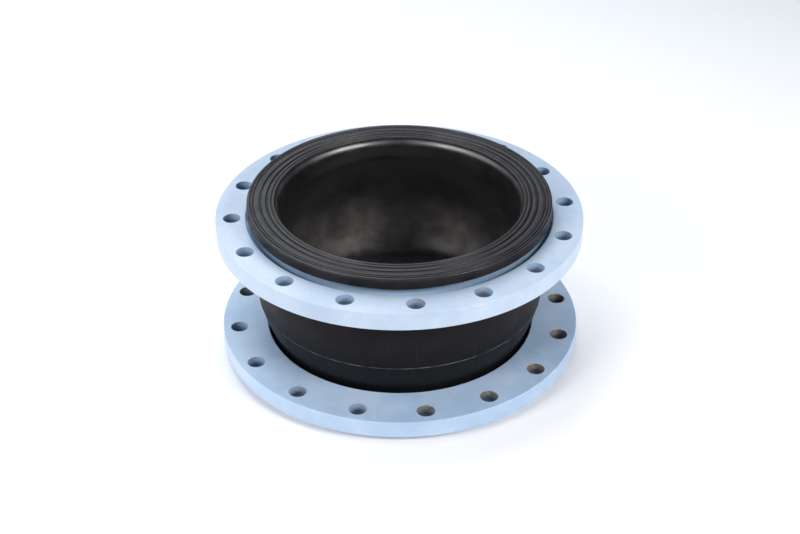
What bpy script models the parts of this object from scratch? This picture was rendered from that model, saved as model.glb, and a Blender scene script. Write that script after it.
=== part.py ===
"""Rubber expansion joint, DN 400, PN 10: a single-arch rubber body with two loose steel flanges.

The joint stands on its lower sealing face. Its axis is +Z, and the origin is the centre of that face.
Every rubber layer is turned round the axis from one half outline, mirrored about the arch's middle.
"""
import math

import bmesh
import bpy
from mathutils import Matrix

# --- driving dimensions, in metres ---
FACE_TO_FACE = 0.255
MIDDLE_Z = FACE_TO_FACE / 2

FLANGE_OUTER_R = 0.2825
FLANGE_BORE_R = 0.2105
FLANGE_THICKNESS = 0.028
FLANGE_BORE_CHAMFER = 0.0015
RECESS_R = 0.2365
RECESS_DEPTH = 0.006
BOLT_CIRCLE_R = 0.2575
BOLT_HOLE_R = 0.013
BOLT_COUNT = 16

# the lower flange lies on its bead's back, and the upper one has dropped onto the arch's shoulder
LOWER_FLANGE_Z = 0.010
UPPER_FLANGE_Z = 0.202
LOWER_FLANGE_TURN = math.radians(8.4)
UPPER_FLANGE_TURN = math.radians(5.0)

BORE_R = 0.186
NECK_R = 0.204
BEAD_R = 0.235
BEAD_HEIGHT = 0.0157
ARCH_OUTER_R = 0.226
ARCH_INNER_R = 0.2115
ARCH_OUTER_CURVE = 0.186
ARCH_INNER_CURVE = 0.1715

GAP = 0.0003
# where the neck turns outward into the bead: each layer follows a quarter ellipse about this centre
TURN_R = 0.212
TURN_Z = 0.0237

LIP_ROUNDING = 0.005
FACE_THICKNESS = 0.005
RIM_THICKNESS = 0.0068
RIM_CHAMFER = 0.0012
GROOVE_RADII = (0.2028, 0.2127, 0.2277)
GROOVE_DEPTH = 0.0008
GROOVE_WIDTH = 0.003

BEAD_WIRE_R = 0.00175
BEAD_WIRE_COUNT = 4
BEAD_WIRE_PITCH = 0.0038
BEAD_WIRE_FIRST_R = 0.2145
BEAD_WIRE_Z = 0.00945

# each layer's share of the wall, from the bore (0) to the outside (1)
TUBE_SHARE = (0.0, 0.30)
# and, for a layer that turns out into the bead, its lowest and highest z there
LAYERS = {
    "cord_ply_1": ((0.325, 0.395), (0.0053, 0.0062)),
    "cord_ply_2": ((0.420, 0.490), (0.0065, 0.0074)),
    "cord_ply_3": ((0.515, 0.585), (0.0115, 0.0124)),
    "cord_ply_4": ((0.610, 0.680), (0.0127, 0.0136)),
    "outer_cover": ((0.705, 1.000), (0.0139, BEAD_HEIGHT)),
}
LAYER_END_R = 0.2279

# --- fineness of the turned shapes ---
RUBBER_SIDES = 32
FLANGE_SIDES = 64
HOLE_SIDES = 12
WIRE_SIDES = 6
TURN_ANGLES = (90, 45, 0)
ARCH_STATIONS = (0.088, 0.045)


def clear_scene():
    for obj in list(bpy.data.objects):
        bpy.data.objects.remove(obj, do_unlink=True)


def material(name, colour, roughness, metallic=0.0):
    mat = bpy.data.materials.new(name)
    mat.use_nodes = True
    shader = mat.node_tree.nodes["Principled BSDF"]
    shader.inputs["Base Color"].default_value = (*colour, 1.0)
    shader.inputs["Roughness"].default_value = roughness
    shader.inputs["Metallic"].default_value = metallic
    mat.diffuse_color = (*colour, 1.0)
    return mat


def mirrored(points):
    """The same outline at the other end of the joint, in reverse order."""
    return [(r, FACE_TO_FACE - z) for r, z in reversed(points)]


def flipped(points, top):
    """An outline of the lower end, or its mirror image for the top."""
    return mirrored(points) if top else points


def turned(name, outline, mat, sides, parent):
    """A solid ring turned round +Z. The outline is closed, and runs down its outer side."""
    mesh = bpy.data.meshes.new(name)
    shape = bmesh.new()
    corners = [shape.verts.new((r, 0.0, z)) for r, z in outline]
    for first, second in zip(corners, corners[1:] + corners[:1]):
        shape.edges.new((first, second))
    shape.to_mesh(mesh)
    shape.free()
    mesh.materials.append(mat)
    obj = bpy.data.objects.new(name, mesh)
    bpy.context.collection.objects.link(obj)
    obj.parent = parent
    obj.matrix_parent_inverse = parent.matrix_world.inverted()
    screw = obj.modifiers.new("Turn", "SCREW")
    screw.axis = "Z"
    screw.steps = sides
    screw.render_steps = sides
    screw.use_merge_vertices = True
    screw.merge_threshold = 0.00005
    screw.use_smooth_shade = True
    return obj


def pivot(name, z):
    """An empty on a joint's axis, which carries one moving body."""
    empty = bpy.data.objects.new(name, None)
    empty.empty_display_size = 0.05
    bpy.context.collection.objects.link(empty)
    empty.location = (0.0, 0.0, z)
    bpy.context.view_layer.update()
    return empty


# --- the rubber wall ---

def wall_r(share, z):
    """Radius at height z of the surface that lies at this share of the wall's thickness."""
    rise = z - MIDDLE_Z
    inner = ARCH_INNER_R - ARCH_INNER_CURVE + math.sqrt(ARCH_INNER_CURVE**2 - rise**2)
    outer = ARCH_OUTER_R - ARCH_OUTER_CURVE + math.sqrt(ARCH_OUTER_CURVE**2 - rise**2)
    inner = max(inner, BORE_R)
    outer = max(outer, NECK_R)
    return inner + share * (outer - inner)


def bead_turn(neck_r, bead_z, angles):
    """Points on the quarter ellipse from the bead (90 degrees) up into the neck (0 degrees)."""
    across = TURN_R - neck_r
    down = TURN_Z - bead_z
    return [
        (
            TURN_R - across * math.cos(math.radians(angle)),
            TURN_Z - down * math.sin(math.radians(angle)),
        )
        for angle in angles
    ]


def arch_half(share):
    """Points of the lower half of the arch, up to but without its middle."""
    return [(wall_r(share, MIDDLE_Z - rise), MIDDLE_Z - rise) for rise in ARCH_STATIONS]


def surface(share, bead_z):
    """One side of a layer, from the lower bead to the upper one."""
    neck_r = BORE_R + share * (NECK_R - BORE_R)
    half = [(LAYER_END_R, bead_z)]
    half += bead_turn(neck_r, bead_z, TURN_ANGLES)
    half += arch_half(share)
    return half + [(wall_r(share, MIDDLE_Z), MIDDLE_Z)] + mirrored(half)


def wall_layer(name, mat, parent):
    (inner_share, outer_share), (face_z, back_z) = LAYERS[name]
    outer = surface(outer_share, back_z)
    inner = surface(inner_share, face_z)
    return turned(name, list(reversed(outer)) + inner, mat, RUBBER_SIDES, parent)


def inner_tube(mat, parent):
    """The liner: it butts against the sealing collars' sleeves in both necks."""
    sides = []
    for share in TUBE_SHARE:
        end_r = BORE_R + share * (NECK_R - BORE_R)
        half = [(end_r, TURN_Z + GAP)] + arch_half(share)
        sides.append(half + [(wall_r(share, MIDDLE_Z), MIDDLE_Z)] + mirrored(half))
    inner, outer = sides
    return turned("inner_tube", list(reversed(outer)) + inner, mat, RUBBER_SIDES, parent)


# --- the beads at the two ends ---

def sealing_collar(name, top, mat, parent):
    """The face rubber: a channel whose sleeve lines the mouth and whose rim is the bead's edge."""
    sleeve_r = BORE_R + TUBE_SHARE[1] * (NECK_R - BORE_R)
    rim_inner_r = BEAD_R - RIM_THICKNESS
    outline = [
        (BEAD_R - RIM_CHAMFER, BEAD_HEIGHT),
        (BEAD_R, BEAD_HEIGHT - RIM_CHAMFER),
        (BEAD_R, RIM_CHAMFER),
        (BEAD_R - RIM_CHAMFER, 0.0),
    ]
    for radius in reversed(GROOVE_RADII):
        outline += [
            (radius + GROOVE_WIDTH / 2, 0.0),
            (radius, GROOVE_DEPTH),
            (radius - GROOVE_WIDTH / 2, 0.0),
        ]
    lip_diagonal = LIP_ROUNDING * (1 - math.sqrt(0.5))
    outline += [
        (BORE_R + LIP_ROUNDING, 0.0),
        (BORE_R + lip_diagonal, lip_diagonal),
        (BORE_R, LIP_ROUNDING),
        (BORE_R, TURN_Z),
    ]
    outline += reversed(bead_turn(sleeve_r, FACE_THICKNESS, TURN_ANGLES))
    outline += [(rim_inner_r, FACE_THICKNESS), (rim_inner_r, BEAD_HEIGHT)]
    return turned(name, flipped(outline, top), mat, RUBBER_SIDES, parent)


def bead_filler(name, top, mat, parent):
    """The hard rubber wedge where the cord plies part round the bead wires."""
    (_, ply_2_share), (_, ply_2_z) = LAYERS["cord_ply_2"]
    (ply_3_share, _), (ply_3_z, _) = LAYERS["cord_ply_3"]
    wedge_angles = TURN_ANGLES[:2]
    face_r = BORE_R + ply_2_share * (NECK_R - BORE_R) + GAP
    back_r = BORE_R + ply_3_share * (NECK_R - BORE_R) - GAP
    face = bead_turn(face_r, ply_2_z + GAP, wedge_angles)
    back = bead_turn(back_r, ply_3_z - GAP, wedge_angles)
    outline = face + list(reversed(back))
    return turned(name, flipped(outline, top), mat, RUBBER_SIDES, parent)


def bead_wire(name, top, number, mat, parent):
    """One hoop of the steel wire strand that keeps the bead from stretching through its flange."""
    centre_r = BEAD_WIRE_FIRST_R + number * BEAD_WIRE_PITCH
    step = 2 * math.pi / WIRE_SIDES
    outline = [
        (
            centre_r + BEAD_WIRE_R * math.sin(step * corner),
            BEAD_WIRE_Z + BEAD_WIRE_R * math.cos(step * corner),
        )
        for corner in range(WIRE_SIDES)
    ]
    return turned(name, flipped(outline, top), mat, RUBBER_SIDES, parent)


# --- the loose flanges ---

def bolt_hole_cutter(name, z, turn, parent):
    """The bolt holes' cylinders on their circle, as one cutter."""
    mesh = bpy.data.meshes.new(name)
    shape = bmesh.new()
    for number in range(BOLT_COUNT):
        angle = turn + 2 * math.pi * number / BOLT_COUNT
        centre = (
            BOLT_CIRCLE_R * math.cos(angle),
            BOLT_CIRCLE_R * math.sin(angle),
            z + FLANGE_THICKNESS / 2,
        )
        bmesh.ops.create_cone(
            shape,
            cap_ends=True,
            segments=HOLE_SIDES,
            radius1=BOLT_HOLE_R,
            radius2=BOLT_HOLE_R,
            depth=FLANGE_THICKNESS * 2,
            matrix=Matrix.Translation(centre),
        )
    shape.to_mesh(mesh)
    shape.free()
    cutter = bpy.data.objects.new(name, mesh)
    bpy.context.collection.objects.link(cutter)
    cutter.parent = parent
    cutter.matrix_parent_inverse = parent.matrix_world.inverted()
    cutter.display_type = "WIRE"
    cutter.hide_render = True
    return cutter


def flange(name, z, turn, top, mat, parent):
    """A flat ring with a recess for the bead. The recess faces the lower end, or the upper one."""
    outline = [
        (FLANGE_OUTER_R, FLANGE_THICKNESS),
        (FLANGE_OUTER_R, 0.0),
        (RECESS_R, 0.0),
        (RECESS_R, RECESS_DEPTH),
        (FLANGE_BORE_R + FLANGE_BORE_CHAMFER, RECESS_DEPTH),
        (FLANGE_BORE_R, RECESS_DEPTH + FLANGE_BORE_CHAMFER),
        (FLANGE_BORE_R, FLANGE_THICKNESS - FLANGE_BORE_CHAMFER),
        (FLANGE_BORE_R + FLANGE_BORE_CHAMFER, FLANGE_THICKNESS),
    ]
    if top:
        outline = [(r, FLANGE_THICKNESS - height) for r, height in reversed(outline)]
    placed = [(r, z + height) for r, height in outline]
    obj = turned(name, placed, mat, FLANGE_SIDES, parent)
    cut = obj.modifiers.new("Bolt holes", "BOOLEAN")
    cut.operation = "DIFFERENCE"
    cut.solver = "EXACT"
    cut.object = bolt_hole_cutter(name + "_bolt_holes", z, turn, parent)
    return obj


def main():
    clear_scene()

    paint = material("flange_paint", (0.60, 0.68, 0.80), 0.35)
    cover_rubber = material("cover_rubber", (0.020, 0.020, 0.023), 0.55)
    face_rubber = material("face_rubber", (0.035, 0.035, 0.038), 0.60)
    tube_rubber = material("tube_rubber", (0.015, 0.015, 0.017), 0.50)
    cord = material("nylon_cord", (0.30, 0.26, 0.20), 0.80)
    filler_rubber = material("filler_rubber", (0.010, 0.010, 0.010), 0.65)
    wire_steel = material("bead_steel", (0.55, 0.50, 0.42), 0.35, 1.0)

    # the bodies: the deflection hinge lies across the arch's middle, and the others are on the axis
    lower_end = pivot("lower_end", 0.0)
    wall_inside = pivot("wall_inside", MIDDLE_Z)
    wall_outside = pivot("wall_outside", MIDDLE_Z)
    upper_end = pivot("upper_end", FACE_TO_FACE)
    lower_swivel = pivot("lower_swivel", LOWER_FLANGE_Z)
    upper_swivel = pivot("upper_swivel", UPPER_FLANGE_Z)

    inner_tube(tube_rubber, wall_inside)
    wall_layer("cord_ply_1", cord, wall_inside)
    wall_layer("cord_ply_2", cord, wall_inside)
    wall_layer("cord_ply_3", cord, wall_outside)
    wall_layer("cord_ply_4", cord, wall_outside)
    wall_layer("outer_cover", cover_rubber, wall_outside)

    for end, top, body in (("lower", False, lower_end), ("upper", True, upper_end)):
        sealing_collar(f"{end}_sealing_collar", top, face_rubber, body)
        bead_filler(f"{end}_bead_filler", top, filler_rubber, body)
        for number in range(BEAD_WIRE_COUNT):
            name = f"{end}_bead_wire_{number + 1}"
            bead_wire(name, top, number, wire_steel, body)

    flange("lower_flange", LOWER_FLANGE_Z, LOWER_FLANGE_TURN, False, paint, lower_swivel)
    flange("upper_flange", UPPER_FLANGE_Z, UPPER_FLANGE_TURN, True, paint, upper_swivel)


main()
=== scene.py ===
"""The looks of a rubber expansion joint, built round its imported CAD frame."""
import math

import bmesh
import bpy
from mathutils import Matrix, Vector


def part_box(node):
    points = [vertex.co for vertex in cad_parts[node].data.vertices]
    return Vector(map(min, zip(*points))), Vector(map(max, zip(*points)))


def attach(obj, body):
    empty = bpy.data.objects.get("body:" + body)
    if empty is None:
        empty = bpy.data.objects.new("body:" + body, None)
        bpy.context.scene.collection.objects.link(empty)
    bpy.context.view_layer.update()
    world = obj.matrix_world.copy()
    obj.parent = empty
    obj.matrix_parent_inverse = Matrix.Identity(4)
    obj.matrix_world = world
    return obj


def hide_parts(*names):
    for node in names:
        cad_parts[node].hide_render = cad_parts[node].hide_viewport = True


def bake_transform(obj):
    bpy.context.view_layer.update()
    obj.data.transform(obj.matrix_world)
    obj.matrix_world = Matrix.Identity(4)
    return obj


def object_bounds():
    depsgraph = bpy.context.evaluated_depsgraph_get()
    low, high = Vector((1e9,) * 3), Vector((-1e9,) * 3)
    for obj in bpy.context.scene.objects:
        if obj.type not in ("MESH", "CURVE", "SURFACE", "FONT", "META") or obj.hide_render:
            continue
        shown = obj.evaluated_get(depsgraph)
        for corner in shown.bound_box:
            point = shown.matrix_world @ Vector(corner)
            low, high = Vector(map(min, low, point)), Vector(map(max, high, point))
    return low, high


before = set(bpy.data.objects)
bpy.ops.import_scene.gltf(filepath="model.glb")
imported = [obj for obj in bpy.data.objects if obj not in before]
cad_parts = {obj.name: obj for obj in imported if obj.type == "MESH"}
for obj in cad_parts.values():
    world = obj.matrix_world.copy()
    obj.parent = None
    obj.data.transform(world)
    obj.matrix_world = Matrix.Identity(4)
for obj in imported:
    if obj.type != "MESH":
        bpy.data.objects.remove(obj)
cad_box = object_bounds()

# --- sizes, in metres: the frame gives the outer ones, and the profile's own details are here ---

FACE_TO_FACE = cad_box[1].z
MIDDLE_Z = FACE_TO_FACE / 2
BEAD_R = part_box("upper_sealing_collar")[1].x
TURN_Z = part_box("lower_sealing_collar")[1].z

BORE_R = 0.186
NECK_R = 0.204
BEAD_HEIGHT = 0.0157
ARCH_OUTER_R = 0.226
ARCH_INNER_R = 0.2115
ARCH_OUTER_CURVE = 0.186
ARCH_INNER_CURVE = 0.1715
# how softly the arch runs out into the neck on its outside, and into the bore on its inside
NECK_SOFTNESS = 0.004
BORE_SOFTNESS = 0.0045
# where the liner ends and the cover begins, as shares of the wall's thickness from the bore out
LINER_SHARE = 0.34
COVER_SHARE = LINER_SHARE + 0.02

FLANGE_BORE_R = 0.2105
FLANGE_BORE_CHAMFER = 0.0015
RECESS_R = 0.2365
RECESS_DEPTH = 0.006
BOLT_CIRCLE_R = 0.2575
BOLT_HOLE_R = 0.013
BOLT_COUNT = 16
EDGE_ROUNDING = 0.0012
HOLE_ROUNDING = 0.0008
FLANGE_TURNS = {"lower_flange": math.radians(8.4), "upper_flange": math.radians(5.0)}
FLANGE_MIDDLES = [sum(corner.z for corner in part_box(name)) / 2 for name in FLANGE_TURNS]

FACE_INNER_R = 0.1903
# the sealing face's grooves: (radius, half width, depth)
FACE_GROOVES = (
    (0.2283, 0.0015, 0.0017), (0.2240, 0.0014, 0.0011), (0.2128, 0.0017, 0.0020),
    (0.2032, 0.0017, 0.0020), (0.1962, 0.0014, 0.0012),
)
# a groove's section, as shares of its half width and of its depth
GROOVE_SHAPE = ((-1.0, 0.0), (-0.85, 0.06), (-0.6, 0.55), (-0.3, 0.93), (0.0, 1.0),
                (0.3, 0.93), (0.6, 0.55), (0.85, 0.06), (1.0, 0.0))
# how the face runs down into the mouth: (what it adds to the inner radius, depth)
FACE_INNER_EDGE = ((0.0022, 0.0), (0.0010, 0.0004), (0.0002, 0.0016))
# the mouth's lip: its rounding, and the angle in degrees where its arc leaves the sealing face
LIP_ROUNDING, LIP_START = 0.015, -136.5

# heights where one part of the wall ends and the next begins
WALL_BREAKS = (TURN_Z, 0.070, 0.125, 0.178, FACE_TO_FACE - TURN_Z)
# the mould's parting line round the arch, and the marks that its segments leave across it
PARTING_Z, PARTING_WIDTH, PARTING_RISE = 0.0905, 0.0010, 0.0006
SEAM_COUNT = 18
SEAM_ANGLES = tuple(math.radians(220.6 + 360.0 / SEAM_COUNT * n) for n in range(SEAM_COUNT))
SEAM_LOW, SEAM_HIGH, SEAM_FADE = 0.052, 0.118, 0.010
SEAM_WIDTH, SEAM_DEPTH = 0.0012, 0.0005

# how finely the meshes are cut: steps round the rubber, the height of a row of faces on the
# wall's visible side, rows on its hidden side, steps from the parting line's middle to its edge
RUBBER_SIDES = 360
WALL_ROW = 0.0025
HIDDEN_ROWS = 12
PARTING_STEPS = 4
# steps round the mouth's lip, the turn into the neck, and the bead's back and rim
LIP_STEPS, NECK_STEPS, BACK_STEPS, RIM_STEPS = 16, 8, 5, 7
# the same for a flange: steps round it for each hole, from ring to ring, and round an edge
ARC_POINTS = 20
SIDE_POINTS = 12
ROUND_STEPS = 4
SHARP_ANGLE = math.radians(40)


# --- meshes ---

def placed(name, data):
    """A new object in the scene for a mesh, a lamp or a camera."""
    obj = bpy.data.objects.new(name, data)
    bpy.context.collection.objects.link(obj)
    return obj


def keep_rest_place(mesh):
    """Keep each point's place at rest, so that the textures follow the rubber as it moves."""
    rest = mesh.attributes.new("rest_place", "FLOAT_VECTOR", "POINT")
    places = [0.0] * (3 * len(mesh.vertices))
    mesh.vertices.foreach_get("co", places)
    rest.data.foreach_set("vector", places)


def finished(name, mesh, mats):
    """A piece of the joint, from its mesh."""
    keep_rest_place(mesh)
    for mat in mats:
        mesh.materials.append(mat)
    obj = placed(name, mesh)
    return obj


def closed_mesh(name, points, faces):
    """A smooth mesh with all its faces pointing out."""
    mesh = bpy.data.meshes.new(name)
    mesh.from_pydata(points, [], faces)
    shape = bmesh.new()
    shape.from_mesh(mesh)
    bmesh.ops.recalc_face_normals(shape, faces=shape.faces)
    shape.to_mesh(mesh)
    shape.free()
    mesh.shade_smooth()
    return mesh


def arc(centre, radius, start, end, count):
    """Points on an arc in the (radius, height) plane, from one angle in degrees to another."""
    points = []
    for step in range(count + 1):
        angle = math.radians(start + (end - start) * step / count)
        points.append((centre[0] + radius * math.cos(angle), centre[1] + radius * math.sin(angle)))
    return points


def mirrored(points):
    """The same outline at the other end of the joint, in reverse order."""
    return [(r, FACE_TO_FACE - z) for r, z in reversed(points)]


def even_angles(count):
    """Angles at even steps all the way round."""
    return [math.tau * side / count for side in range(count)]


def lathe(name, outline, mats, angles=None, carve=None, second=None):
    """A closed outline turned round the axis into a smooth solid ring.

    carve gives what to add to the radius of an outline's point at an angle, and second says
    whether a stretch whose middle is at a height takes the second material."""
    angles = angles or even_angles(RUBBER_SIDES)
    points, faces = [], []
    count = len(outline)
    for side, angle in enumerate(angles):
        for corner, (r, z) in enumerate(outline):
            if carve:
                r += carve(corner, z, angle)
            points.append((r * math.cos(angle), r * math.sin(angle), z))
        here, there = side * count, (side + 1) % len(angles) * count
        for corner in range(count):
            after = (corner + 1) % count
            faces.append((here + corner, here + after, there + after, there + corner))
    mesh = closed_mesh(name, points, faces)
    mesh.set_sharp_from_angle(angle=SHARP_ANGLE)
    if second:
        for face in mesh.polygons:
            face.material_index = int(second(face.center.z))
    return finished(name, mesh, mats)


class Drilled:
    """A flat ring with holes on a circle, built from closed loops and one patch round each hole."""

    def __init__(self, turn):
        self.turn = turn
        self.points, self.faces = [], []
        self.arcs = BOLT_COUNT * ARC_POINTS
        self.hole_points = 2 * (ARC_POINTS + SIDE_POINTS)

    def add(self, points):
        """Add points, and give their numbers."""
        first = len(self.points)
        self.points += points
        return list(range(first, len(self.points)))

    def ring_angle(self, step):
        """A ring's steps start halfway between two holes."""
        return self.turn + math.tau * (step - ARC_POINTS / 2) / self.arcs

    def ring(self, r, z):
        """A closed loop of points round the axis."""
        steps = map(self.ring_angle, range(self.arcs))
        return self.add([(r * math.cos(a), r * math.sin(a), z) for a in steps])

    def join(self, first, second):
        """The faces between two closed loops of as many points."""
        count = len(first)
        for step in range(count):
            after = (step + 1) % count
            self.faces.append((first[step], first[after], second[after], second[step]))

    def rings(self, outline):
        """An open outline turned round the axis, which gives its first and last loops."""
        loops = [self.ring(r, z) for r, z in outline]
        for first, second in zip(loops, loops[1:]):
            self.join(first, second)
        return loops[0], loops[-1]

    def hole_loop(self, hole, r, z):
        """Points round a hole, in the order in which a patch's border runs round it."""
        middle = self.turn + math.tau * hole / BOLT_COUNT
        outward = Vector((math.cos(middle), math.sin(middle), 0.0))
        onward = Vector((-outward.y, outward.x, 0.0))
        centre = outward * BOLT_CIRCLE_R + Vector((0.0, 0.0, z))
        points = []
        for step in range(self.hole_points):
            angle = math.tau * (step - ARC_POINTS / 2) / self.hole_points
            points.append(centre + r * (onward * math.sin(angle) - outward * math.cos(angle)))
        return self.add(points)

    def holes(self, outline):
        """Every hole's wall, from its outline of (extra radius, height), which gives its rims."""
        rims = []
        first_face = len(self.faces)
        for hole in range(BOLT_COUNT):
            loops = [self.hole_loop(hole, BOLT_HOLE_R + extra, z) for extra, z in outline]
            for first, second in zip(loops, loops[1:]):
                self.join(first, second)
            rims.append((loops[0], loops[-1]))
        self.wall_faces = range(first_face, len(self.faces))
        return rims

    def spokes(self, inner_r, outer_r, z):
        """The points between two rings on each line halfway between two holes."""
        lines = []
        span = outer_r - inner_r
        radii = [inner_r + span * k / SIDE_POINTS for k in range(1, SIDE_POINTS)]
        for hole in range(BOLT_COUNT):
            angle = self.ring_angle(hole * ARC_POINTS)
            lines.append(self.add([(r * math.cos(angle), r * math.sin(angle), z) for r in radii]))
        return lines

    def face(self, inner, outer, inner_r, outer_r, z, rims):
        """One flat side, patch by patch."""
        lines = self.spokes(inner_r, outer_r, z)
        for hole, rim in enumerate(rims):
            first, last = hole * ARC_POINTS, (hole + 1) * ARC_POINTS
            border = [inner[k % self.arcs] for k in range(first, last + 1)]
            border += lines[(hole + 1) % BOLT_COUNT]
            border += [outer[k % self.arcs] for k in range(last, first - 1, -1)]
            border += reversed(lines[hole])
            self.join(border, rim)


# --- materials ---

class Shader:
    """A material's nodes, with short calls for the ones that the surfaces here use."""

    def __init__(self, name):
        self.mat = bpy.data.materials.new(name)
        self.mat.use_nodes = True
        self.tree = self.mat.node_tree
        self.surface = self.tree.nodes["Principled BSDF"]
        self.place = self.node("ShaderNodeAttribute", attribute_name="rest_place").outputs["Vector"]
        axes = self.node("ShaderNodeSeparateXYZ", Vector=self.place)
        x, y, self.z = axes.outputs
        flat = self.node("ShaderNodeCombineXYZ", X=x, Y=y).outputs[0]
        across = self.node("ShaderNodeVectorMath", operation="LENGTH", Vector=flat)
        self.radius = across.outputs["Value"]

    def node(self, kind, **settings):
        """A new node: each setting is one of its inputs or one of its properties."""
        made = self.tree.nodes.new(kind)
        for name, value in settings.items():
            if name in made.inputs:
                self.feed(made.inputs[name], value)
            else:
                setattr(made, name, value)
        return made

    def feed(self, socket, value):
        """Link another node's output to a socket, or set the socket to a constant."""
        if isinstance(value, bpy.types.NodeSocket):
            self.tree.links.new(value, socket)
        else:
            socket.default_value = value

    def math(self, operation, first, second=0.0, third=0.0):
        made = self.tree.nodes.new("ShaderNodeMath")
        made.operation = operation
        for socket, value in zip(made.inputs, (first, second, third)):
            self.feed(socket, value)
        return made.outputs[0]

    def times(self, first, second):
        return self.math("MULTIPLY", first, second)

    def off_height(self, z):
        """How far above or below a height the surface is."""
        return self.math("ABSOLUTE", self.math("SUBTRACT", self.z, z))

    def stretched(self, x, y, z):
        """The place, with each axis stretched by its own factor."""
        made = self.node("ShaderNodeVectorMath", operation="MULTIPLY")
        self.feed(made.inputs[0], self.place)
        made.inputs[1].default_value = (x, y, z)
        return made.outputs[0]

    def distance(self, point):
        """How far from a point of the joint at rest the surface is."""
        made = self.node("ShaderNodeVectorMath", operation="DISTANCE")
        self.feed(made.inputs[0], self.place)
        made.inputs[1].default_value = point
        return made.outputs["Value"]

    def noise(self, scale, detail=3.0, roughness=0.5, place=None):
        made = self.node("ShaderNodeTexNoise", Scale=scale, Detail=detail, Roughness=roughness)
        self.feed(made.inputs["Vector"], place or self.place)
        return made.outputs["Fac"]

    def ringed(self, scale, detail=2.0):
        """Noise that changes only with the distance from the axis, as turning marks do."""
        made = self.node("ShaderNodeTexNoise", noise_dimensions="1D", Scale=scale, Detail=detail)
        self.feed(made.inputs["W"], self.radius)
        return made.outputs["Fac"]

    def ramp(self, value, low, high, out_low=0.0, out_high=1.0):
        """The value's stretch from low to high, mapped to out_low and out_high and held there."""
        made = self.node("ShaderNodeMapRange", clamp=True)
        self.feed(made.inputs["Value"], value)
        made.inputs["From Min"].default_value = low
        made.inputs["From Max"].default_value = high
        made.inputs["To Min"].default_value = out_low
        made.inputs["To Max"].default_value = out_high
        return made.outputs["Result"]

    def mix(self, amount, first, second):
        """The first colour at an amount of 0, and the second at 1."""
        made = self.node("ShaderNodeMix", data_type="RGBA")
        self.feed(made.inputs["Factor"], amount)
        sockets = [s for s in made.inputs if s.type == "RGBA"]
        for socket, colour in zip(sockets, (first, second)):
            linked = isinstance(colour, bpy.types.NodeSocket)
            self.feed(socket, colour if linked else (*colour, 1.0))
        return next(s for s in made.outputs if s.type == "RGBA")

    def bump(self, height, distance, strength=1.0, under=None):
        """A height as a relief on the surface, or on the relief under it."""
        made = self.node("ShaderNodeBump", Strength=strength, Distance=distance, Height=height)
        if under is not None:
            self.feed(made.inputs["Normal"], under)
        return made.outputs["Normal"]

    def finish(self, **inputs):
        """Feed the surface's inputs, and give the material."""
        for name, value in inputs.items():
            self.feed(self.surface.inputs[name.replace("_", " ")], value)
        return self.mat


# each enamel's pale and deep tone; the lower flange's, and the one in the recess and the bore, are
# painted bounce light: bluer and more saturated, as shade looks between the blue flanges
UPPER_ENAMEL = (0.468, 0.570, 0.694), (0.395, 0.500, 0.640)
LOWER_ENAMEL_PAINTED_BOUNCE = (0.475, 0.610, 0.775), (0.370, 0.515, 0.700)
BORE_ENAMEL_PAINTED_BOUNCE = (0.450, 0.670, 0.930), (0.400, 0.610, 0.890)
BRUSHED_ENAMEL = (0.54, 0.64, 0.76)
SPECKED_ENAMEL = (0.33, 0.38, 0.44)
# in the bolt holes: a darker enamel and a dark navy, both painted shade
HOLE_ENAMEL_PAINTED_SHADE = (0.300, 0.420, 0.570)
HOLE_MID_DEPTH_PAINTED_SHADE = (0.055, 0.090, 0.145)
STEEL = (0.24, 0.235, 0.23), (0.45, 0.44, 0.43)
RUST = (0.48, 0.30, 0.17)
COVER_BLACK, COVER_DUST = (0.0050, 0.0047, 0.0056), (0.022, 0.0205, 0.021)
COVER_SCRAPED = (0.12, 0.115, 0.115)
FACE_BLACK, FACE_BLOOM = (0.0074, 0.0066, 0.0080), (0.0170, 0.0156, 0.0184)
FACE_WORN = (0.055, 0.052, 0.057)
LINER_BLACK, LINER_BLOOM_AND_PAINTED_GLOSS = (0.0022, 0.0012, 0.0016), (0.185, 0.162, 0.148)
# the middle of the liner's patch of painted gloss, a lighter colour that stands in for a highlight,
# and the distances from it where the patch starts to fade and where it ends
PAINTED_GLOSS_PLACE = (-0.066, 0.190, 0.050)
PAINTED_GLOSS_REACH = 0.020, 0.090


def flange_paint(name, pale, deep):
    """Pale blue-grey enamel: a faint orange peel over the turned steel, cloudy where it is thin."""
    shader = Shader(name)
    clouds = shader.noise(11.0, 4.0, 0.6)
    colour = shader.mix(shader.ramp(clouds, 0.38, 0.62), pale, deep)
    brushed = shader.noise(1.0, 3.0, 0.6, shader.stretched(60.0, 14.0, 60.0))
    colour = shader.mix(shader.ramp(brushed, 0.5, 0.8, 0.0, 0.35), colour, BRUSHED_ENAMEL)
    specks = shader.ramp(shader.noise(380.0, 2.0), 0.70, 0.76, 0.0, 0.4)
    colour = shader.mix(specks, colour, SPECKED_ENAMEL)
    turned = shader.bump(shader.ringed(900.0), 0.00002, 0.6)
    peel = shader.bump(shader.noise(260.0, 2.0, 0.4), 0.00006, 0.5, turned)
    roughness = shader.ramp(clouds, 0.3, 0.7, 0.31, 0.40)
    return shader.finish(Base_Color=colour, Roughness=roughness, Normal=peel)


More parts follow.
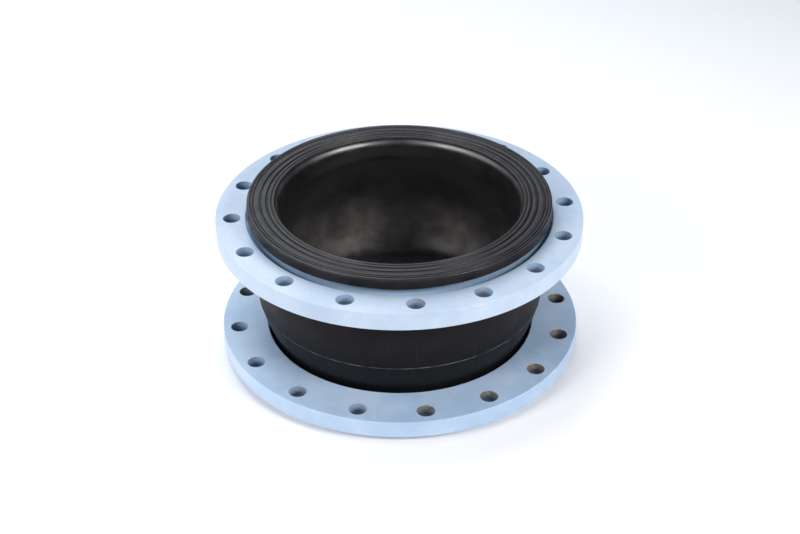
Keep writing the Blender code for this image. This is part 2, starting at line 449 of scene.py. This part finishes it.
def hole_wall():
    """A bolt hole's drilled wall: oversprayed in some holes, dull and a little rusty in others,
    with painted shade that darkens it.
    """
    shader = Shader("drilled_steel")
    place = shader.noise(5.5, 1.0, 0.5)
    grain = shader.noise(160.0, 4.0, 0.6)
    steel = shader.mix(shader.ramp(grain, 0.35, 0.7), *STEEL)
    rust = shader.times(shader.ramp(place, 0.58, 0.64), shader.ramp(grain, 0.48, 0.62))
    steel = shader.mix(rust, steel, RUST)
    wear = shader.math("ADD", place, shader.times(grain, 0.15))
    # the lower flange's holes are the barer ones
    wear = shader.math("SUBTRACT", wear, shader.ramp(shader.z, 0.04, 0.2, 0.0, 0.14))
    bare = shader.ramp(wear, 0.50, 0.60)
    colour = shader.mix(bare, HOLE_ENAMEL_PAINTED_SHADE, steel)
    # painted shade: the wall turns a dark navy halfway down, where the least light reaches
    off_middle = shader.math("MINIMUM", *map(shader.off_height, FLANGE_MIDDLES))
    painted_mid_shade = shader.ramp(off_middle, 0.001, 0.009, 0.8, 0.0)
    colour = shader.mix(painted_mid_shade, colour, HOLE_MID_DEPTH_PAINTED_SHADE)
    drilled = shader.noise(1.0, 2.0, 0.5, shader.stretched(30.0, 30.0, 900.0))
    marks = shader.bump(drilled, 0.00008, 0.6)
    metal = shader.times(bare, 0.5)
    return shader.finish(Base_Color=colour, Roughness=0.45, Normal=marks, Metallic=metal)


def cover_rubber():
    """Moulded black rubber, a little dusty, with fine upright streaks of the cord under it."""
    shader = Shader("moulded_rubber")
    streaks = shader.noise(1.0, 3.0, 0.6, shader.stretched(420.0, 420.0, 12.0))
    patches = shader.noise(14.0, 4.0, 0.6)
    dust = shader.times(shader.ramp(patches, 0.45, 0.75), shader.ramp(streaks, 0.35, 0.7))
    colour = shader.mix(shader.times(dust, 0.5), COVER_BLACK, COVER_DUST)
    on_line = shader.ramp(shader.off_height(PARTING_Z), 0.0004, 0.0012, 1.0, 0.0)
    in_places = shader.ramp(shader.noise(45.0, 2.0), 0.38, 0.62, 0.1, 0.8)
    colour = shader.mix(shader.times(on_line, in_places), colour, COVER_SCRAPED)
    grain = shader.bump(shader.noise(1500.0, 2.0), 0.00003, 0.5)
    corded = shader.bump(streaks, 0.00012, 0.35, grain)
    wavy = shader.bump(shader.noise(22.0, 2.0), 0.0015, 0.12, corded)
    roughness = shader.ramp(patches, 0.3, 0.7, 0.40, 0.56)
    return shader.finish(Base_Color=colour, Roughness=roughness, Normal=wavy,
                         Specular_IOR_Level=0.12)


def face_rubber(name, sheen, polish):
    """Finely turned rings, scuffed and a little bloomed: handling has polished the outer edge."""
    shader = Shader(name)
    rings = shader.ringed(700.0, 3.0)
    bloom = shader.ramp(shader.noise(12.0, 5.0, 0.65), 0.35, 0.75)
    colour = shader.mix(bloom, FACE_BLACK, FACE_BLOOM)
    scuffed = shader.ramp(shader.noise(30.0, 3.0), 0.3, 0.7)
    worn = shader.times(shader.ramp(rings, 0.52, 0.66), scuffed)
    colour = shader.mix(shader.times(worn, 0.8), colour, FACE_WORN)
    fine = shader.bump(rings, 0.0003, 0.85)
    grain = shader.bump(shader.noise(900.0, 3.0), 0.00004, 0.5, fine)
    roughness = shader.ramp(shader.noise(40.0, 3.0), 0.3, 0.7, 0.32, 0.46)
    polished = shader.ramp(shader.radius, BEAD_R - 0.0045, BEAD_R - 0.003, 0.0, polish)
    roughness = shader.math("SUBTRACT", roughness, polished)
    return shader.finish(Base_Color=colour, Roughness=roughness, Normal=grain,
                         Specular_IOR_Level=sheen)


def tube_rubber():
    """The liner: smoother and blacker, with a cloudy lighter colour on its lips, its lower shoulder
    and one patch: partly bloom, partly painted gloss.
    """
    shader = Shader("liner_rubber")
    patches = shader.noise(9.0, 5.0, 0.65)
    scuffs = shader.noise(40.0, 4.0, 0.6)
    shoulder = shader.times(shader.ramp(shader.z, 0.038, 0.052),
                            shader.ramp(shader.z, 0.085, 0.135, 1.0, 0.0))
    lip = shader.ramp(shader.off_height(MIDDLE_Z), MIDDLE_Z - 0.016, MIDDLE_Z - 0.005)
    painted_gloss_spot = shader.ramp(shader.distance(PAINTED_GLOSS_PLACE), *PAINTED_GLOSS_REACH, 1.0, 0.0)
    # partly bloom and partly painted gloss: a lighter colour where the lights' highlights fall
    bloom_and_painted_gloss = shader.math("MULTIPLY_ADD", shoulder, 0.35, 0.03)
    bloom_and_painted_gloss = shader.math("MAXIMUM", bloom_and_painted_gloss, painted_gloss_spot)
    bloom_and_painted_gloss = shader.math("MAXIMUM", bloom_and_painted_gloss, shader.times(lip, 0.28))
    clouding = shader.times(shader.ramp(patches, 0.32, 0.60),
                        shader.ramp(scuffs, 0.36, 0.64, 0.45, 0.95))
    colour = shader.mix(shader.times(clouding, bloom_and_painted_gloss), LINER_BLACK, LINER_BLOOM_AND_PAINTED_GLOSS)
    wavy = shader.bump(shader.noise(12.0, 1.0, 0.5), 0.004, 0.25)
    roughness = shader.math("ADD", shader.ramp(patches, 0.35, 0.65, 0.27, 0.36),
                            shader.ramp(scuffs, 0.35, 0.65, 0.0, 0.08))
    roughness = shader.math("MULTIPLY_ADD", lip, 0.07, roughness)
    return shader.finish(Base_Color=colour, Roughness=roughness, Normal=wavy,
                         Specular_IOR_Level=1.0, IOR=1.66)


# --- the flanges ---

def flange_outlines(outer_r, thickness):
    """A flange's outer edge, its bore and recess, and the wall of a bolt hole.

    The points are (radius, height above the recessed side). The wall's radius is what it adds
    to the hole's own."""
    edge, small, chamfer = EDGE_ROUNDING, HOLE_ROUNDING, FLANGE_BORE_CHAMFER
    # how far the chamfers' corners are taken back
    eased = small / 4
    outside = arc((outer_r - edge, edge), edge, -90, 0, ROUND_STEPS)
    outside += arc((outer_r - edge, thickness - edge), edge, 0, 90, ROUND_STEPS)
    inside = [
        (FLANGE_BORE_R + chamfer + small, thickness),
        (FLANGE_BORE_R + chamfer, thickness - eased),
        (FLANGE_BORE_R + eased, thickness - chamfer),
        (FLANGE_BORE_R, thickness - chamfer - small),
        (FLANGE_BORE_R, RECESS_DEPTH + chamfer + small),
        (FLANGE_BORE_R + eased, RECESS_DEPTH + chamfer),
        (FLANGE_BORE_R + chamfer, RECESS_DEPTH + eased),
        (FLANGE_BORE_R + chamfer + small, RECESS_DEPTH),
    ]
    inside += arc((RECESS_R - small, RECESS_DEPTH - small), small, 90, 0, ROUND_STEPS)
    inside += arc((RECESS_R + small, small), small, 180, 270, ROUND_STEPS)
    rim = [(small - small * math.sin(a), small - small * math.cos(a))
           for a in (math.pi / 2 * k / ROUND_STEPS for k in range(ROUND_STEPS + 1))]
    return outside, inside, rim + [(extra, thickness - z) for extra, z in reversed(rim)]


def flange(name, mats):
    """A turned and drilled ring with softened edges and a recess on its sealing side."""
    low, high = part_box(name)
    recess_up = name == "upper_flange"
    thickness = high.z - low.z

    def height(z):
        """A height above the recessed side, in the joint's own frame."""
        return high.z - z if recess_up else low.z + z

    outside, inside, hole = ([(r, height(z)) for r, z in outline]
                             for outline in flange_outlines(high.x, thickness))
    ring = Drilled(FLANGE_TURNS[name])
    outer_front, outer_back = ring.rings(outside)
    first_inside = len(ring.faces)
    inner_back, inner_front = ring.rings(inside)
    inside_faces = range(first_inside, len(ring.faces))
    front_rims, back_rims = zip(*ring.holes(hole))
    ring.face(inner_front, outer_front, inside[-1][0], outside[0][0], height(0.0), front_rims)
    ring.face(inner_back, outer_back, inside[0][0], outside[-1][0], height(thickness), back_rims)

    mesh = closed_mesh(name + "_enamelled", ring.points, ring.faces)
    for index, numbers in ((1, ring.wall_faces), (2, inside_faces)):
        for number in numbers:
            mesh.polygons[number].material_index = index
    obj = finished(name + "_enamelled", mesh, mats)
    soften = obj.modifiers.new("Even shading", "WEIGHTED_NORMAL")
    soften.weight = 80
    soften.keep_sharp = True
    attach(obj, name)
    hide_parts(name)


# --- the rubber body ---

def softly_above(value, floor, width):
    """The larger of two radii, with the corner between them rounded over a width."""
    gap = value - floor
    return floor + (gap + math.sqrt(gap * gap + width * width)) / 2


def wall_r(share, z):
    """Radius at height z of the surface that lies at this share of the wall's thickness."""
    rise = z - MIDDLE_Z
    inner = ARCH_INNER_R - ARCH_INNER_CURVE + math.sqrt(ARCH_INNER_CURVE**2 - rise**2)
    outer = ARCH_OUTER_R - ARCH_OUTER_CURVE + math.sqrt(ARCH_OUTER_CURVE**2 - rise**2)
    inner = softly_above(inner, BORE_R, BORE_SOFTNESS)
    outer = softly_above(outer, NECK_R, NECK_SOFTNESS)
    return inner + share * (outer - inner)


def wall_line(share, low, high, count, ridge=False):
    """Points up one side of the wall between two heights, with the parting line's ridge or not."""
    heights = [low + (high - low) * step / count for step in range(count + 1)]
    if ridge:
        steps = range(-PARTING_STEPS, PARTING_STEPS + 1)
        near = [PARTING_Z + PARTING_WIDTH * step / PARTING_STEPS for step in steps]
        heights += [z for z in near if low < z < high]
    points = []
    for z in sorted(set(heights)):
        r = wall_r(share, z)
        off = (z - PARTING_Z) / PARTING_WIDTH
        if ridge and abs(off) < 1:
            r += PARTING_RISE * math.cos(off * math.pi / 2) ** 2
        points.append((r, z))
    return points


def seam_angles():
    """Even steps round the cover, with finer ones across each segment's mark."""
    angles = set(even_angles(RUBBER_SIDES))
    step = SEAM_WIDTH / ARCH_OUTER_R / 2
    for seam in SEAM_ANGLES:
        near = [(seam + step * k) % math.tau for k in (-2, -1, 0, 1, 2)]
        own = near[2]
        angles = {a for a in angles if abs(a - own) > 3 * step} | set(near)
    return sorted(angles)


def seam_cut(z, angle):
    """How far a segment's mark goes into the cover at a height and an angle."""
    fade = min(1.0, (z - SEAM_LOW) / SEAM_FADE, (SEAM_HIGH - z) / SEAM_FADE)
    if fade <= 0:
        return 0.0
    off = min(abs(math.remainder(angle - seam, math.tau)) for seam in SEAM_ANGLES)
    across = off * ARCH_OUTER_R / SEAM_WIDTH
    return -SEAM_DEPTH * fade * (1 - across) if across < 1 else 0.0


def rows(low, high):
    """How many rows of faces the wall's visible side has between two heights."""
    return round((high - low) / WALL_ROW)


def cover_part(name, low, high, mat):
    """The outer part of the wall between two heights, with the mould's marks."""
    outer = wall_line(1.0, low, high, rows(low, high), ridge=True)
    inner = wall_line(COVER_SHARE, low, high, HIDDEN_ROWS)
    outer.reverse()

    def carve(corner, z, angle):
        return seam_cut(z, angle) if corner < len(outer) else 0.0

    return lathe(name, outer + inner, [mat], seam_angles(), carve)


def liner_part(name, low, high, mat):
    """The inner part of the wall between two heights."""
    outer = wall_line(LINER_SHARE, low, high, HIDDEN_ROWS)
    inner = wall_line(0.0, low, high, rows(low, high))
    return lathe(name, outer[::-1] + inner, [mat])


def liner_end(name, top, mat):
    """The liner's end, rolled over at the mouth inside the sealing face."""
    back_r, bore_r = FACE_INNER_R - 0.0001, BORE_R + 0.0002
    # how far behind the sealing face a whole turn of the lip would stay
    sunk = 0.0004
    outline = [(back_r, TURN_Z), (back_r, 0.0040), (back_r - 0.0003, 0.0022)]
    centre = bore_r + LIP_ROUNDING, LIP_ROUNDING + sunk
    outline += arc(centre, LIP_ROUNDING, LIP_START, -180, LIP_STEPS)
    outline += [(wall_r(0.0, TURN_Z), TURN_Z)]
    if top:
        outline = mirrored(outline)
    return lathe(name, outline, [mat])


def bead(name, top, mats):
    """The bead: grooved sealing face, rim, back, and the turn up into the neck."""
    rim_round, back_round, neck_round, draft = 0.0020, 0.0009, 0.008, 0.0012
    turn_r = NECK_R + neck_round
    neck_out = wall_r(1.0, TURN_Z)
    outline = [(FACE_INNER_R + FACE_INNER_EDGE[-1][0], TURN_Z), (neck_out, TURN_Z)]
    for step in range(1, NECK_STEPS + 1):
        angle = math.pi / 2 * step / NECK_STEPS
        outline.append((turn_r - (turn_r - neck_out) * math.cos(angle),
                        TURN_Z - (TURN_Z - BEAD_HEIGHT) * math.sin(angle)))
    outline += arc((BEAD_R - back_round, BEAD_HEIGHT - back_round), back_round, 90, 0, BACK_STEPS)
    outline += arc((BEAD_R - draft - rim_round, rim_round), rim_round, 0, -90, RIM_STEPS)
    for centre, width, depth in FACE_GROOVES:
        outline += [(centre - width * off, depth * share) for off, share in GROOVE_SHAPE]
    outline += [(FACE_INNER_R + extra, depth) for extra, depth in FACE_INNER_EDGE]
    if top:
        outline = mirrored(outline)

    def off_the_face(z):
        return abs(z - MIDDLE_Z) < MIDDLE_Z - rim_round

    return lathe(name, outline, mats, second=off_the_face)


def rubber_body():
    """The two ends, each riding on its body, and the wall between them, stretch by stretch."""
    cover, tube = cover_rubber(), tube_rubber()
    face = [face_rubber("sealing_face", sheen=0.32, polish=0.17),
            face_rubber("bead_rim", sheen=0.15, polish=0.0)]
    tube_nodes = "inner_tube", "cord_ply_1", "cord_ply_2"
    wires = range(1, 5)
    for end, top in (("lower", False), ("upper", True)):
        rim = bead(f"{end}_bead", top, face)
        mouth = liner_end(f"{end}_mouth", top, tube)
        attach(rim, f"{end}_end")
        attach(mouth, f"{end}_end")
        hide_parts(f"{end}_sealing_collar", f"{end}_bead_filler",
                    *(f"{end}_bead_wire_{n}" for n in wires))
        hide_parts(*tube_nodes)
    stretches = (("low", "lower_end", "wall_inside"), ("middle", "wall_inside", "wall_outside"),
                 ("high", "wall_outside", "upper_end"), ("shoulder", "upper_end", None))
    for (part, below, above), low, high in zip(stretches, WALL_BREAKS, WALL_BREAKS[1:]):
        outer = cover_part(f"cover_{part}", low, high, cover)
        inner = liner_part(f"liner_{part}", low, high, tube)
        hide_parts("outer_cover", "cord_ply_3", "cord_ply_4")
        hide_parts(*tube_nodes)
        for obj in (outer, inner):
            if above:
                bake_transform(obj)
            else:
                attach(obj, below)


# --- the studio ---

PAPER_WHITE, PAPER_IN_SHADE = (0.965, 0.97, 0.98), (0.05, 0.05, 0.053)
FLOOR_HALF = 6.0
DEEP_SHADE_R = 0.13
SKY_COLOUR, SKY_STRENGTH = (0.58, 0.75, 1.0, 1.0), 0.15
COOL, WARM = (0.92, 0.955, 1.0), (1.0, 0.955, 0.925)
LIGHTS_AIM = (0.0, 0.0, 0.12)
# name, place, width and height, watts, colour
SOFT_LIGHTS = (
    ("overhead", (-0.45, 0.80, 2.30), (1.8, 1.8), 38.0, COOL),
    ("backdrop", (-0.9, 2.75, 2.1), (2.6, 1.3), 22.0, COOL),
    ("left_fill", (-2.6, -0.2, 1.05), (1.8, 1.4), 15.0, COOL),
    ("front_left", (-1.76, -1.54, 1.46), (1.1, 0.8), 38.0, WARM),
    ("front_right", (1.83, -1.48, 1.42), (1.1, 0.8), 55.0, WARM),
)


def sky():
    """A faint blue light from all round."""
    world = bpy.data.worlds.new("studio")
    bpy.context.scene.world = world
    world.use_nodes = True
    background = world.node_tree.nodes["Background"]
    background.inputs["Color"].default_value = SKY_COLOUR
    background.inputs["Strength"].default_value = SKY_STRENGTH


def paper_floor():
    """White paper, with painted deep shade under the bore, where the liner would mirror it."""
    half = FLOOR_HALF
    mesh = bpy.data.meshes.new("floor")
    corners = [(-half, -half, 0), (half, -half, 0), (half, half, 0), (-half, half, 0)]
    mesh.from_pydata(corners, [], [(0, 1, 2, 3)])
    keep_rest_place(mesh)
    paper = Shader("paper")
    shade = paper.ramp(paper.radius, DEEP_SHADE_R, BORE_R, 1.0, 0.0)
    white = paper.mix(shade, PAPER_WHITE, PAPER_IN_SHADE)
    mesh.materials.append(paper.finish(Base_Color=white, Roughness=0.9))
    floor = placed("floor", mesh)


def lights():
    """Large soft lights round the joint, turned to its middle."""
    for name, place, size, power, colour in SOFT_LIGHTS:
        lamp = bpy.data.lights.new(name, "AREA")
        lamp.shape = "RECTANGLE"
        lamp.size, lamp.size_y = size
        lamp.energy = power
        lamp.color = colour
        obj = placed(name, lamp)
        obj.location = place
        inward = Vector(LIGHTS_AIM) - Vector(place)
        obj.rotation_euler = inward.to_track_quat("-Z", "Y").to_euler()


def camera():
    """The photograph's view: about 33 degrees down, from 2.5 m, through a 69 mm lens."""
    place = (0.0, -2.0346, 1.4448)
    pitch, yaw, roll = 0.57549, 0.00026, -0.00480
    across = math.cos(pitch)
    forward = Vector((math.sin(yaw) * across, math.cos(yaw) * across, -math.sin(pitch)))
    level = Vector((math.cos(yaw), -math.sin(yaw), 0.0))
    upright = level.cross(forward)
    right = level * math.cos(roll) + upright * math.sin(roll)
    up = upright * math.cos(roll) - level * math.sin(roll)
    turn = Matrix((right, up, -forward)).transposed().to_4x4()
    data = bpy.data.cameras.new("camera")
    data.lens = 69.11
    data.sensor_width = 36.0
    data.clip_end = 50.0
    obj = placed("camera", data)
    obj.matrix_world = Matrix.Translation(place) @ turn
    bpy.context.scene.camera = obj


# --- the whole scene ---

camera()
sky()
paper_floor()
lights()
# the enamel in the recess and the bore is painted bounce light
walls = [hole_wall(), flange_paint("bore_enamel_painted_bounce", *BORE_ENAMEL_PAINTED_BOUNCE)]
# the lower flange's enamel is painted bounce light for the shade under the upper flange
flange("lower_flange", [flange_paint("lower_enamel_painted_bounce", *LOWER_ENAMEL_PAINTED_BOUNCE)] + walls)
flange("upper_flange", [flange_paint("upper_enamel", *UPPER_ENAMEL)] + walls)
rubber_body()
bpy.context.scene.view_settings.view_transform = "Standard"
